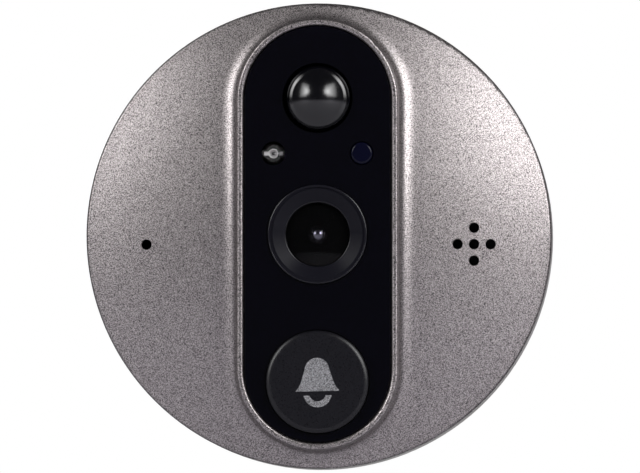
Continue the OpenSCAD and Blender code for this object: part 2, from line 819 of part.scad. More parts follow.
// Ring whose inner edge bears on the inner glass's curve
module lens_retaining_ring() {
    r = inner_r - ring_h;
    curve_z = z_stop - inner_edge_t - inner_sag + inner_curve_r;
    z_top = curve_z - sqrt(inner_curve_r * inner_curve_r - r * r) - seat_gap;
    color(metal) stand() ring(r, inner_r, z_top - ring_h, z_top);
}

module lens_holder() {
    color(matt_black) stand() difference() {
        union() {
            block(holder_w, holder_w, z_parts, z_parts + holder_base_h);
            rod(holder_w / 2, z_parts, z_parts + holder_h);
        }
        block(sensor_room_w, sensor_room_w, z_parts - past, z_filter_web);
        rod(filter_open_d / 2, z_parts, z_filter + past);
        rod(thread_d / 2 + seat_gap, z_filter, z_parts + holder_h + past);
    }
}

module ir_filter() {
    color(clear) stand() rod(filter_d / 2, z_filter, z_filter + filter_t);
}

module image_sensor() {
    color(smoke) stand() block(sensor_w, sensor_w, z_parts, z_parts + sensor_t);
}

// Hollow cap with a bevelled face, a post and a flange that the collar's opening trims, which
// also keeps the cap from turning
module button_cap() {
    z_roof = z_button - button_top_t;
    color(matt_black) stand() {
        at([0, button_y]) rotate_extrude() polygon([
            [0, z_button], [button_r - button_bevel, z_button], [button_r, z_button - button_bevel_h],
            [button_r, z_button_foot], [button_r - button_wall, z_button_foot],
            [button_r - button_wall, z_roof], [post_d / 2, z_roof], [post_d / 2, z_stem], [0, z_stem]
        ]);
        intersection() {
            at([0, button_y]) ring(
                button_r - button_wall / 2, button_r + button_flange_w,
                z_button_foot, z_button_flange
            );
            stadium(opening_w - air_gap, collar_l, z_button_foot, z_button_flange);
        }
    }
}

// Silicone boot between the board and the button, with a drawn-in web that folds when pressed
module button_seal() {
    in_r = boot_r - boot_ring_w;
    z_waist = (z_parts + z_button_foot) / 2;
    z_low = z_parts + boot_ring_t;
    z_high = z_button_foot - boot_ring_t;
    color(rubber_grey) stand() at([0, button_y]) rotate_extrude() polygon([
        [in_r, z_parts], [boot_r, z_parts], [boot_r, z_low], [in_r + 2 * boot_web_t, z_low],
        [in_r + boot_web_t, z_waist], [in_r + 2 * boot_web_t, z_high], [boot_r, z_high],
        [boot_r, z_button_foot], [in_r, z_button_foot], [in_r, z_high + boot_web_t],
        [in_r + boot_web_t, z_high], [in_r, z_waist], [in_r + boot_web_t, z_low],
        [in_r, z_low - boot_web_t]
    ]);
}

module switch_body() {
    color(matt_black) stand() at([0, button_y]) difference() {
        block(switch_w, switch_w, z_parts, z_switch_sheet);
        rod(stem_room_r, z_switch_floor, z_switch_sheet + past);
    }
}

// Thin spherical snap spring between the switch's floor and the stem's nub
module switch_dome() {
    r = stem_d / 2 + stem_collar_w;
    curve_r = (r * r + snap_h * snap_h) / (2 * snap_h);
    color(metal) stand() at([0, button_y]) rotate_extrude() difference() {
        intersection() {
            translate([0, z_nub - curve_r]) circle(curve_r);
            translate([0, z_switch_floor]) square([r, snap_h]);
        }
        translate([0, z_nub - curve_r]) circle(curve_r - snap_t);
    }
}

module switch_cover() {
    color(metal) stand() at([0, button_y]) difference() {
        block(switch_w, switch_w, z_switch_sheet, z_parts + switch_h);
        rod(stem_d / 2 + stem_gap, z_switch_sheet - past, z_parts + switch_h + past);
    }
}

module switch_stem() {
    z_collar_top = z_stem_foot + stem_collar_h;
    color(matt_black) stand() at([0, button_y]) rotate_extrude() polygon([
        [0, z_nub], [nub_d / 2, z_nub], [nub_d / 2, z_stem_foot],
        [stem_d / 2 + stem_collar_w, z_stem_foot],
        [stem_d / 2 + stem_collar_w, z_collar_top], [stem_d / 2, z_collar_top],
        [stem_d / 2, z_stem], [0, z_stem]
    ]);
}

module main_board() {
    color(board_green) stand() difference() {
        rod(board_r, z_board, z_parts);
        for (p = cover_screw_places) at(p) rod(boss_d / 2 + air_gap, z_board - past, z_parts + past);
        for (p = board_screw_places) at(p) rod(screw_r + fit_gap, z_board - past, z_parts + past);
        for (p = led_places, s = [-1, 1])
            at(p + [s * lead_pitch / 2, 0]) rod(lead_hole_r, z_board - past, z_parts + past);
        for (a = [90, 210, 330])
            at([0, pir_y]) rotate([0, 0, a]) translate([pir_leg_circle, 0, 0])
                rod(pir_leg_r + fit_gap, z_board - past, z_parts + past);
    }
}

// Processor, memory and a power coil, on the free part of the board beside the camera
module board_chips() {
    chip_x = holder_w / 2 + chip_w / 2 + 2 * air_gap;
    color(smoke) stand() {
        translate([-chip_x, chip_w / 2, 0]) block(chip_w, chip_w, z_parts, z_parts + chip_t);
        translate([-chip_x, -chip_w, 0]) block(chip_w, chip_w / 2, z_parts, z_parts + chip_t);
        translate([chip_x, chip_w / 2, 0]) block(chip_w / 2, chip_w / 2, z_parts, z_parts + 2 * chip_t);
    }
}

module microphone() {
    color(metal) stand() at(mic_at) block(mic_w, mic_l, z_parts, z_parts + mic_h);
}

// Rubber tube from the microphone to its hole in the cover
module microphone_boot() {
    color(rubber_grey) stand() at(mic_at) difference() {
        rod(mic_boot_d / 2, z_parts, z_mic_boss);
        block(mic_w + 2 * fit_gap, mic_l + 2 * fit_gap, z_parts - past, z_parts + mic_h);
        rod(sound_d / 2, z_parts, z_mic_boss + past);
    }
}

module speaker_frame() {
    z_floor = z_speaker_back + basket_t;
    color(matt_black) stand() at(speaker_at) rotate_extrude() polygon([
        [magnet_d / 2 + seat_gap, z_speaker_back], [speaker_r, z_speaker_back],
        [speaker_r, z_speaker], [speaker_r - basket_t, z_speaker],
        [speaker_r - basket_t, z_floor], [magnet_d / 2 + seat_gap, z_floor]
    ]);
}

module speaker_magnet() {
    color(metal) stand() at(speaker_at) rod(magnet_d / 2, z_speaker_back, z_speaker_back + magnet_h);
}

// Thin disc with a domed middle, glued into the basket
module speaker_diaphragm() {
    r = speaker_r - basket_t - seat_gap;
    z_rim = z_speaker - diaphragm_h - diaphragm_t;
    dome_w = magnet_d / 2;
    curve_r = (dome_w * dome_w + diaphragm_h * diaphragm_h) / (2 * diaphragm_h);
    color(smoke) stand() at(speaker_at) rotate_extrude() difference() {
        union() {
            translate([0, z_rim]) square([r, diaphragm_t]);
            intersection() {
                translate([0, z_rim + diaphragm_t + diaphragm_h - curve_r]) circle(curve_r);
                translate([0, z_rim]) square([dome_w, diaphragm_t + diaphragm_h]);
            }
        }
        intersection() {
            translate([0, z_rim + diaphragm_h - curve_r]) circle(curve_r);
            translate([0, z_rim - past]) square([dome_w, diaphragm_h + past]);
        }
    }
}

module speaker_gasket() {
    color(rubber_grey) stand() at(speaker_at)
        ring(speaker_r - speaker_foam_w, speaker_r, z_speaker, z_speaker_seat);
}

module speaker_mesh() {
    color(smoke) stand() at(speaker_at)
        rod(speaker_r - speaker_foam_w - fit_gap, z_speaker_seat - mesh_t, z_speaker_seat);
}

// Two bent leaf springs from the board to the speaker's back
module speaker_contacts() {
    h = z_speaker_back - z_parts;
    color(brass) stand() for (s = [-1, 1])
        at(speaker_at + [s * (contact_x + contact_w), -contact_l / 2]) rotate([90, 0, 90])
            linear_extrude(contact_w, center = true) polygon([
                [0, z_parts], [contact_l, z_parts], [contact_l, z_parts + contact_t],
                [contact_t, z_parts + contact_t], [contact_l, z_parts + h - contact_t],
                [contact_l, z_parts + h], [contact_l - 2 * contact_t, z_parts + h],
                [0, z_parts + 2 * contact_t]
            ]);
}

module cable_socket() {
    z_mouth = z_board - socket_h;
    color(rubber_grey) stand() difference() {
        block(socket_w, socket_l, z_mouth, z_board);
        block(
            socket_w - 2 * socket_wall, socket_l - 2 * socket_wall,
            z_mouth - past, z_board - socket_floor_t
        );
    }
}

module socket_pins() {
    step = (socket_l - 2 * socket_wall) / (socket_pins_n + 1);
    z_floor = z_board - socket_floor_t;
    color(brass) stand() for (i = [1 : socket_pins_n])
        translate([0, (i - (socket_pins_n + 1) / 2) * step, 0])
            block(pin_t, pin_t, z_floor - pin_h, z_floor);
}

// Pan head with a cross recess on a plain shank; the head's flat side is at z = 0
module screw(length) {
    head_r = screw_head_d / 2;
    recess_w = screw_r / 2;
    recess_l = head_r;
    color(metal) difference() {
        rotate_extrude() polygon([
            [0, -screw_head_h], [head_r * 0.7, -screw_head_h], [head_r, -screw_head_h / 2], [head_r, 0],
            [screw_r, 0], [screw_r, length - screw_r / 2], [screw_r / 2, length], [0, length]
        ]);
        for (a = [0, 90]) rotate([0, 0, a])
            block(recess_w, recess_l, -screw_head_h - past, -screw_head_h / 2);
    }
}

module board_screws() {
    stand() for (p = board_screw_places)
        at(p) translate([0, 0, z_board]) screw(board_t + screw_grip - air_gap);
}

module cover_seal() {
    color(rubber_grey) stand() ring(cavity_r + skirt_gap, skirt_r - skirt_gap, z_plate, z_ledge);
}

// Plate and hub in one turn, with the pad's pocket, the cable slot and the holes for the inserts
// and the screws
module rear_cover() {
    plate_r = skirt_r - skirt_gap;
    head_room_r = screw_head_d / 2 + fit_gap;
    color(matt_black) stand() difference() {
        rotate_extrude() polygon([
            [0, -hub_len], [hub_r - hub_lead_in, -hub_len], [hub_r, hub_lead_in - hub_len],
            [hub_r, z_back], [plate_r, z_back], [plate_r, z_plate], [0, z_plate]
        ]);
        ring(pad_in_r - fit_gap, pad_out_r + fit_gap, z_back - past, pad_t);
        stadium(cable_slot_w / 2, (cable_slot_h - cable_slot_w) / 2, -hub_len - past, z_plate + past);
        for (s = [-1, 1])
            translate([s * insert_x, 0, 0]) rod(insert_r + seat_gap, -hub_len - past, insert_len - hub_len);
        for (p = cover_screw_places) at(p) {
            rod(screw_r + fit_gap, z_back - past, z_plate + past);
            rod(head_room_r, z_back - past, z_back + screw_head_h);
        }
    }
}

module cover_screws() {
    stand() for (p = cover_screw_places)
        at(p) translate([0, 0, z_back + screw_head_h]) screw(plate_t - screw_head_h + screw_grip - air_gap);
}

// Brass inserts with a groove round their middle
module threaded_inserts() {
    groove = 0.25;
    third = insert_len / 3;
    color(brass) stand() for (s = [-1, 1])
        translate([s * insert_x, 0, -hub_len]) rotate_extrude() polygon([
            [insert_bore_d / 2, 0], [insert_r, 0], [insert_r, third], [insert_r - groove, third + groove],
            [insert_r - groove, 2 * third - groove], [insert_r, 2 * third], [insert_r, insert_len],
            [insert_bore_d / 2, insert_len]
        ]);
}

module mounting_pad() {
    color(rubber_grey) stand() ring(pad_in_r, pad_out_r, 0, pad_t);
}

front_cover();
front_panel();
panel_gasket();
pir_dome();
pir_sensor();
pir_window();
ir_led();
light_sensor();
lead_frames();
led_spacers();
lens_bezel();
lens_front_element();
lens_barrel();
lens_inner_element();
lens_retaining_ring();
lens_holder();
ir_filter();
image_sensor();
button_cap();
button_seal();
switch_body();
switch_dome();
switch_cover();
switch_stem();
main_board();
board_chips();
microphone();
microphone_boot();
speaker_frame();
speaker_magnet();
speaker_diaphragm();
speaker_gasket();
speaker_mesh();
speaker_contacts();
cable_socket();
socket_pins();
board_screws();
cover_seal();
rear_cover();
cover_screws();
threaded_inserts();
mounting_pad();
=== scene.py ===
"""Looks of the door camera's outdoor unit: paint, plastics, glass, the bell sign and soft pieces."""

import json
import math

import bmesh
import bpy
from mathutils import Matrix, Vector


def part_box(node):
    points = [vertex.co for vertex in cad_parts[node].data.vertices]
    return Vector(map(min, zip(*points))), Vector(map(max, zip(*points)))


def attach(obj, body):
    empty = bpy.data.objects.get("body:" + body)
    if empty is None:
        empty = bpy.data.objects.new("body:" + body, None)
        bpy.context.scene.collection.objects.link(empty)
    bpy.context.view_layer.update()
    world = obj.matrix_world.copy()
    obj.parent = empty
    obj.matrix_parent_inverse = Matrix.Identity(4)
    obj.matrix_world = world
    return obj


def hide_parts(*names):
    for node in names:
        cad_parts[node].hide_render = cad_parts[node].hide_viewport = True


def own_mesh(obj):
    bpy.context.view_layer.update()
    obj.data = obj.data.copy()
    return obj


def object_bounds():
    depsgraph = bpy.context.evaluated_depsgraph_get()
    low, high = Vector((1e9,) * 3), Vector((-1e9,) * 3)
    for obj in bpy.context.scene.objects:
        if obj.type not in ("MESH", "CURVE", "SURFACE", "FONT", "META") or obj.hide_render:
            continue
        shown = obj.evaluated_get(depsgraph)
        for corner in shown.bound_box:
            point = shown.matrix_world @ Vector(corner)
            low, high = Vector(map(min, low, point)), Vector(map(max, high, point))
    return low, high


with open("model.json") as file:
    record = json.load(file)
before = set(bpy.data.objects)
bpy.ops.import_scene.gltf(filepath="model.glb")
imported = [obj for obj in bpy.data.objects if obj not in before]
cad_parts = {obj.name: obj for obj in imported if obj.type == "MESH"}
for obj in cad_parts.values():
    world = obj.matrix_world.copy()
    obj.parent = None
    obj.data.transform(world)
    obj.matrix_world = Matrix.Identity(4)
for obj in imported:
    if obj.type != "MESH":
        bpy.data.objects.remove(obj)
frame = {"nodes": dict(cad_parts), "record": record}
cad_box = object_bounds()
nodes = frame["nodes"]
mounts = {m["name"]: m for m in frame["record"]["mounts"]}

MM = 0.001
UNIT, BUTTON = "unit", "button"
INTO_DOOR = Vector((0, 1, 0))
SAME_PLACE = 1e-7  # points nearer to each other than this are one point
QUARTER = 90  # degrees

# Sizes that the frame doesn't give, as in the part's source
FACE_RADIUS, COLLAR_RISE, COLLAR_EDGE = 105 * MM, 2.3 * MM, 0.9 * MM
BUTTON_RADIUS, BUTTON_BEVEL, BUTTON_BEVEL_DROP = 6.8 * MM, 0.6 * MM, 0.3 * MM
LAMP_RADIUS, LAMP_RIM = 1.5 * MM, 1.0 * MM
BEZEL_RADIUS, LIP_ROUND = 6.6 * MM, 0.18 * MM
THROAT_RADIUS, THROAT_DEPTH = 4.3 * MM, 1.35 * MM
HOLLOW_CURVE, HOLLOW_WIDTH = 2.05 * MM, 2.5 * MM


def middle(node_name):
    low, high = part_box(node_name)
    return (low + high) / 2


# Places of the pieces, read from the frame
button_axis = middle("switch_stem")
button_face_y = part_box("button_cap")[0].y
lamp_axis = middle("ir_led")


# Shared surface effects


def map_range(tree, value, low, high, dark, light):
    spread = tree.nodes.new("ShaderNodeMapRange")
    spread.inputs["From Min"].default_value = low
    spread.inputs["From Max"].default_value = high
    tree.links.new(value, spread.inputs["Value"])
    for socket, source in (("To Min", dark), ("To Max", light)):
        if isinstance(source, float):
            spread.inputs[socket].default_value = source
        else:
            tree.links.new(source, spread.inputs[socket])
    return spread.outputs["Result"]


def make_effect(name, scale, low, high, detail, roughness=0.5, stretch=None):
    """Noise on the surface, given as a shade between Dark and Light and as a height."""
    tree = bpy.data.node_groups.new(name, "ShaderNodeTree")
    for socket, value in (("Scale", scale), ("Dark", 0.9), ("Light", 1.1)):
        made = tree.interface.new_socket(socket, in_out="INPUT", socket_type="NodeSocketFloat")
        made.default_value = value
    for socket in ("Shade", "Height"):
        tree.interface.new_socket(socket, in_out="OUTPUT", socket_type="NodeSocketFloat")
    given = tree.nodes.new("NodeGroupInput").outputs
    result = tree.nodes.new("NodeGroupOutput").inputs
    place = tree.nodes.new("ShaderNodeTexCoord").outputs["Object"]
    if stretch:
        mapping = tree.nodes.new("ShaderNodeMapping")
        mapping.inputs["Scale"].default_value = stretch
        tree.links.new(place, mapping.inputs["Vector"])
        place = mapping.outputs["Vector"]
    noise = tree.nodes.new("ShaderNodeTexNoise")
    noise.inputs["Detail"].default_value = detail
    noise.inputs["Roughness"].default_value = roughness
    tree.links.new(place, noise.inputs["Vector"])
    tree.links.new(given["Scale"], noise.inputs["Scale"])
    height = noise.outputs["Fac"]
    tree.links.new(map_range(tree, height, low, high, given["Dark"], given["Light"]), result["Shade"])
    tree.links.new(height, result["Height"])
    return tree


# Even grain of paint flakes, spark-eroded moulds, rubber and foam
GRAIN = make_effect("surface grain", 3000.0, 0.36, 0.64, detail=1.0)
# Fine lines of turned and drawn metal, across the unit's depth
DRAWN = make_effect("drawn lines", 4000.0, 0.3, 0.7, detail=3.0, stretch=(0.08, 1.0, 0.08))
# Slow unevenness of polished surfaces: faint wiping marks and dust
FILM = make_effect("wiped film", 90.0, 0.35, 0.65, detail=5.0, roughness=0.65)


def new_material(name):
    material = bpy.data.materials.new(name)
    material.use_nodes = True
    return material, material.node_tree, material.node_tree.nodes["Principled BSDF"]


def place_group(tree, group, scale, dark, light):
    placed = tree.nodes.new("ShaderNodeGroup")
    placed.node_tree = group
    placed.inputs["Scale"].default_value = scale
    placed.inputs["Dark"].default_value = dark
    placed.inputs["Light"].default_value = light
    return placed


def shaded_colour(tree, colour, shade):
    """The finish's colour, darker and lighter with the shade."""
    mix = tree.nodes.new("ShaderNodeVectorMath")
    mix.operation = "SCALE"
    mix.inputs[0].default_value = colour
    tree.links.new(shade, mix.inputs["Scale"])
    return mix.outputs["Vector"]


def finish(name, colour, rough, effect, scale, dark, light, bump=0.0, **settings):
    """A finish whose colour, roughness and relief follow one of the shared effects."""
    rough_spread = 0.15
    material, tree, surface = new_material(name)
    placed = place_group(tree, effect, scale, dark, light)
    tree.links.new(shaded_colour(tree, colour, placed.outputs["Shade"]), surface.inputs["Base Color"])
    least, most = rough * (1 - rough_spread), rough * (1 + rough_spread)
    roughness = map_range(tree, placed.outputs["Height"], 0.3, 0.7, least, most)
    tree.links.new(roughness, surface.inputs["Roughness"])
    if bump:
        relief = tree.nodes.new("ShaderNodeBump")
        relief.inputs["Strength"].default_value = 1.0
        relief.inputs["Distance"].default_value = bump
        tree.links.new(placed.outputs["Height"], relief.inputs["Height"])
        tree.links.new(relief.outputs["Normal"], surface.inputs["Normal"])
    for socket, value in settings.items():
        surface.inputs[socket.replace("_", " ")].default_value = value
    return material


def make_speaker_cloth():
    """Acoustic cloth: two crossed sets of threads."""
    threads_scale = 1200.0
    material, tree, surface = new_material("speaker cloth")
    place = tree.nodes.new("ShaderNodeTexCoord")
    threads = []
    for direction in ("X", "Z"):
        wave = tree.nodes.new("ShaderNodeTexWave")
        wave.bands_direction = direction
        wave.inputs["Scale"].default_value = threads_scale
        tree.links.new(place.outputs["Object"], wave.inputs["Vector"])
        threads.append(wave.outputs["Fac"])
    higher = tree.nodes.new("ShaderNodeMath")
    higher.operation = "MAXIMUM"
    for thread, socket in zip(threads, higher.inputs):
        tree.links.new(thread, socket)
    shade = map_range(tree, higher.outputs["Value"], 0.2, 1.0, 0.2, 1.2)
    tree.links.new(shaded_colour(tree, (0.012, 0.012, 0.013), shade), surface.inputs["Base Color"])
    surface.inputs["Roughness"].default_value = 0.8
    return material


def make_board():
    """Solder mask over copper traces."""
    material, tree, surface = new_material("solder mask")
    place = tree.nodes.new("ShaderNodeTexCoord")
    traces = tree.nodes.new("ShaderNodeTexBrick")
    traces.inputs["Scale"].default_value = 260.0
    traces.inputs["Mortar Size"].default_value = 0.03
    traces.inputs["Color1"].default_value = (0.012, 0.085, 0.05, 1)
    traces.inputs["Color2"].default_value = (0.015, 0.1, 0.06, 1)
    traces.inputs["Mortar"].default_value = (0.05, 0.19, 0.1, 1)
    turn = tree.nodes.new("ShaderNodeMapping")
    turn.inputs["Rotation"].default_value = (math.pi / 2, 0, 0)
    tree.links.new(place.outputs["Object"], turn.inputs["Vector"])
    tree.links.new(turn.outputs["Vector"], traces.inputs["Vector"])
    tree.links.new(traces.outputs["Color"], surface.inputs["Base Color"])
    surface.inputs["Roughness"].default_value = 0.4
    return material


# Finishes, by the record's material slots: name, colour, roughness, effect and its scale, dark and light
FINISHES = {
    "cover_paint": finish(
        "cover paint", (0.328, 0.301, 0.301), 0.39, GRAIN, 9700.0, 0.15, 1.95,
        bump=0.000008, Metallic=0.95,
    ),
    "panel_black": finish(
        "gloss black panel", (0.0010, 0.0009, 0.0026), 0.02, FILM, 120.0, 0.9, 1.1
    ),
    "smoked_lens": finish(
        "smoked lens", (0.0012, 0.0012, 0.0022), 0.17, FILM, 160.0, 0.9, 1.1,
        Specular_IOR_Level=0.72,
    ),
    "clear_epoxy": finish(
        "clear epoxy", (0.99, 0.985, 0.99), 0.03, FILM, 300.0, 0.98, 1.0,
        Transmission_Weight=1.0, IOR=1.5, Alpha=0.1,
    ),
    "dark_epoxy": finish(
        "dark epoxy", (0.0026, 0.0028, 0.011), 0.16, FILM, 300.0, 0.9, 1.1,
        Specular_IOR_Level=0.15,
    ),
    "bezel_black": finish(
        "bezel black", (0.0076, 0.0074, 0.0112), 0.33, GRAIN, 6000.0, 0.9, 1.1,
        bump=0.000002, Specular_IOR_Level=0.12,
    ),
    "lens_glass": finish(
        "lens glass", (0.9, 0.88, 0.99), 0.012, FILM, 400.0, 0.98, 1.0,
        Transmission_Weight=0.998, IOR=1.22,
    ),
    "button_black": finish(
        "button black", (0.005, 0.0048, 0.0072), 0.31, GRAIN, 7000.0, 0.88, 1.12,
        bump=0.000002, Specular_IOR_Level=0.36,
    ),
    "silicone": finish("silicone", (0.02, 0.02, 0.021), 0.6, GRAIN, 2500.0, 0.92, 1.08, bump=0.000004),
    "foam": finish("foam", (0.035, 0.035, 0.037), 0.9, GRAIN, 2600.0, 0.55, 1.3, bump=0.00008),
    "steel": finish("steel", (0.56, 0.56, 0.57), 0.3, DRAWN, 9000.0, 0.85, 1.1, Metallic=1.0),
    "brass": finish("brass", (0.70, 0.50, 0.20), 0.28, DRAWN, 9000.0, 0.85, 1.1, Metallic=1.0),
    "black_plastic": finish(
        "inner black", (0.003, 0.003, 0.0033), 0.6, GRAIN, 5000.0, 0.9, 1.1,
        bump=0.000003, Specular_IOR_Level=0.1,
    ),
    "rear_plastic": finish(
        "rear cover black", (0.02, 0.02, 0.021), 0.55, GRAIN, 3200.0, 0.85, 1.15, bump=0.00001
    ),
    "socket_plastic": finish("socket cream", (0.62, 0.58, 0.48), 0.45, GRAIN, 3000.0, 0.95, 1.05),
    "board": make_board(),
    "chip": finish("chip black", (0.018, 0.018, 0.019), 0.5, GRAIN, 8000.0, 0.85, 1.15, bump=0.000004),
    "mesh": make_speaker_cloth(),
}
# Finishes of single pieces
SILVER_PLATE = finish("silver plate", (0.45, 0.445, 0.445), 0.4, DRAWN, 5000.0, 0.55, 1.4)
SIGN_PAINT = finish("sign grey", (0.19, 0.189, 0.199), 0.6, GRAIN, 9300.0, 0.1, 1.95)
SOUND_BLACK = finish(
    "sound port black", (0.0012, 0.0012, 0.0014), 0.7, GRAIN, 5000.0, 0.9, 1.1,
    Specular_IOR_Level=0.05,
)
POLISHED_EDGE = finish(
    "polished edge", (0.005, 0.0048, 0.008), 0.2, GRAIN, 6000.0, 0.9, 1.1,
    Specular_IOR_Level=0.42,
)
BARE_GLASS = finish(
    "bare glass", (0.99, 0.985, 0.99), 0.012, FILM, 400.0, 0.98, 1.0,
    Transmission_Weight=1.0, IOR=1.75,
)
BOND_METAL = finish("bond aluminium", (0.6, 0.6, 0.61), 0.3, DRAWN, 20000.0, 0.9, 1.05, Metallic=1.0)
DIE = finish("lamp crystal", (0.01, 0.01, 0.011), 0.4, GRAIN, 12000.0, 0.8, 1.2)

for part in frame["record"]["subparts"]:
    piece = nodes[part["node"]]
    piece.data.materials.clear()
    piece.data.materials.append(FINISHES[part["material_slot"]])
nodes["lead_frames"].data.materials[0] = SILVER_PLATE
for name in ("microphone", "microphone_boot"):
    nodes[name].data.materials[0] = SOUND_BLACK


# Making pieces


def add_piece(name, shape, material, body, smooth=True):
    bmesh.ops.remove_doubles(shape, verts=shape.verts, dist=SAME_PLACE)
    bmesh.ops.recalc_face_normals(shape, faces=shape.faces)
    mesh = bpy.data.meshes.new(name)
    shape.to_mesh(mesh)
    shape.free()
    mesh.polygons.foreach_set("use_smooth", [smooth] * len(mesh.polygons))
    mesh.materials.append(material)
    piece = bpy.data.objects.new(name, mesh)
    bpy.context.scene.collection.objects.link(piece)
    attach(piece, body)
    return piece


def turned(profile, axis_point, steps=96, to_axis=False):
    """A turned shape from (radius, y) points: closed, or open with both ends on the axis."""
    shape = bmesh.new()
    ring = [shape.verts.new((axis_point.x + r, y, axis_point.z)) for r, y in profile]
    following = ring[1:] if to_axis else ring[1:] + ring[:1]
    edges = [shape.edges.new(ends) for ends in zip(ring, following)]
    bmesh.ops.spin(
        shape,
        geom=ring + edges,
        cent=(axis_point.x, 0, axis_point.z),
        axis=INTO_DOOR,
        angle=2 * math.pi,
        steps=steps,
        use_merge=True,
    )
    return shape


def spin_from(shape, start, centre, degrees, steps):
    """A line of edges from a vertex round a centre, flat in x and y; gives the last vertex."""
    made = bmesh.ops.spin(
        shape,
        geom=[start],
        cent=(centre[0], centre[1], 0),
        axis=(0, 0, 1),
        angle=math.radians(degrees),
        steps=steps,
        use_merge=False,
    )
    return next(g for g in made["geom_last"] if isinstance(g, bmesh.types.BMVert))


def is_level(edge):
    """Whether an edge stays at one depth in the door's direction."""
    return abs(edge.verts[0].co.y - edge.verts[1].co.y) < SAME_PLACE


def make_bell_sign():
    """Printed bell: a domed body that flares to its rim, and a half-ring clapper below it."""
    # In millimetres, flat in x and y, up along y; the sign leans by a few degrees
    crown_r, crown_y, crown_turn = 1.62, 1.55, -84
    waist, lip_centre, lip_turn = (2.05, 0.3), (5.289, 1.174), 29
    rim_w, rim_y = 2.85, -1.26
    clapper_y, clapper_in, clapper_out, cut_y = -1.49, 1.12, 1.9, -1.82
    lean, thickness, sunk, weld = 1.4, 0.03, 0.01, 0.001
    shape = bmesh.new()
    # The right half of the outline: crown, side, flared lip and rim
    top = shape.verts.new((0, crown_y + crown_r, 0))
    side = spin_from(shape, top, (0, crown_y), crown_turn, 16)
    flare = shape.verts.new((*waist, 0))
    lip = spin_from(shape, flare, lip_centre, lip_turn, 8)
    rim = shape.verts.new((rim_w, rim_y, 0))
    foot = shape.verts.new((0, rim_y, 0))
    for ends in ((side, flare), (lip, rim), (rim, foot), (foot, top)):
        shape.edges.new(ends)
    bmesh.ops.contextual_create(shape, geom=shape.edges[:])
    # The clapper's right half, cut level at its upper end
    low_in = shape.verts.new((0, clapper_y - clapper_in, 0))
    low_out = shape.verts.new((0, clapper_y - clapper_out, 0))
    strip = shape.edges.new((low_in, low_out))
    bmesh.ops.spin(
        shape,
        geom=[strip],
        cent=(0, clapper_y, 0),
        axis=(0, 0, 1),
        angle=math.pi / 2,
        steps=16,
        use_merge=False,
    )
    quarter = [f for f in shape.faces if f.calc_center_median().y < rim_y]
    around = {e for f in quarter for e in f.edges}
    corners = {v for f in quarter for v in f.verts}
    bmesh.ops.bisect_plane(
        shape,
        geom=quarter + list(around) + list(corners),
        plane_co=(0, cut_y, 0),
        plane_no=(0, 1, 0),
        clear_outer=True,
    )
    everything = shape.verts[:] + shape.edges[:] + shape.faces[:]
    bmesh.ops.mirror(shape, geom=everything, axis="X", merge_dist=weld)
    bmesh.ops.remove_doubles(shape, verts=shape.verts, dist=weld)
    bmesh.ops.recalc_face_normals(shape, faces=shape.faces)
    leaning = Matrix.Rotation(math.radians(lean), 3, "Z")
    bmesh.ops.rotate(shape, verts=shape.verts, cent=(0, 0, 0), matrix=leaning)
    raised = bmesh.ops.extrude_face_region(shape, geom=shape.faces[:])
    lifted = [g for g in raised["geom"] if isinstance(g, bmesh.types.BMVert)]
    bmesh.ops.translate(shape, verts=lifted, vec=(0, 0, thickness))
    bmesh.ops.translate(shape, verts=shape.verts, vec=(0, 0, -sunk))
    stand = Matrix.Translation((button_axis.x, button_face_y, button_axis.z))
    stand = stand @ Matrix.Rotation(math.pi / 2, 4, "X") @ Matrix.Scale(MM, 4)
    bmesh.ops.transform(shape, matrix=stand, verts=shape.verts)
    add_piece("bell_sign", shape, SIGN_PAINT, BUTTON, smooth=False)


def make_motion_lens():
    """Smoked dome: a parabola that turns down into a round edge, on the flange under the panel."""
    low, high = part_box("pir_dome")
    aside = 0.1 * MM
    axis = middle("pir_dome") + Vector((aside, 0, 0))
    apex_y, under_y, foot_y = low.y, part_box("front_panel")[1].y, high.y
    flange_r = (high.x - low.x) / 2 - aside
    dome_r, curve, edge_r, wall = 4.25 * MM, 3.9 * MM, 1.7 * MM, 0.7 * MM
    centre_r = dome_r - edge_r

    def parabola_r(tilt):
        return curve * math.tan(math.radians(tilt))

    # The first tilt, in degrees, at which the parabola has passed into the edge's arc
    meet = next(
        tilt
        for tilt in range(30, QUARTER)
        if parabola_r(tilt) + edge_r * (1 - math.sin(math.radians(tilt))) > dome_r
    )
    profile = []
    for tilt in range(0, meet, 2):
        r = parabola_r(tilt)
        profile.append((r, apex_y + r * r / (2 * curve)))
    centre_y = profile[-1][1] + edge_r * math.cos(math.radians(meet - 1))
    for tilt in range(meet + 1, QUARTER + 1, 3):
        a = math.radians(tilt)
        profile.append((centre_r + edge_r * math.sin(a), centre_y - edge_r * math.cos(a)))
    profile += [(dome_r, under_y), (flange_r, under_y), (flange_r, foot_y), (dome_r - wall, foot_y)]
    profile += [(dome_r - wall, centre_y), (centre_r, apex_y + 2 * wall), (0, apex_y + wall)]
    shape = turned(profile, axis, 128, to_axis=True)
    lens = add_piece("motion_lens", shape, FINISHES["smoked_lens"], UNIT)
    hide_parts("pir_dome")


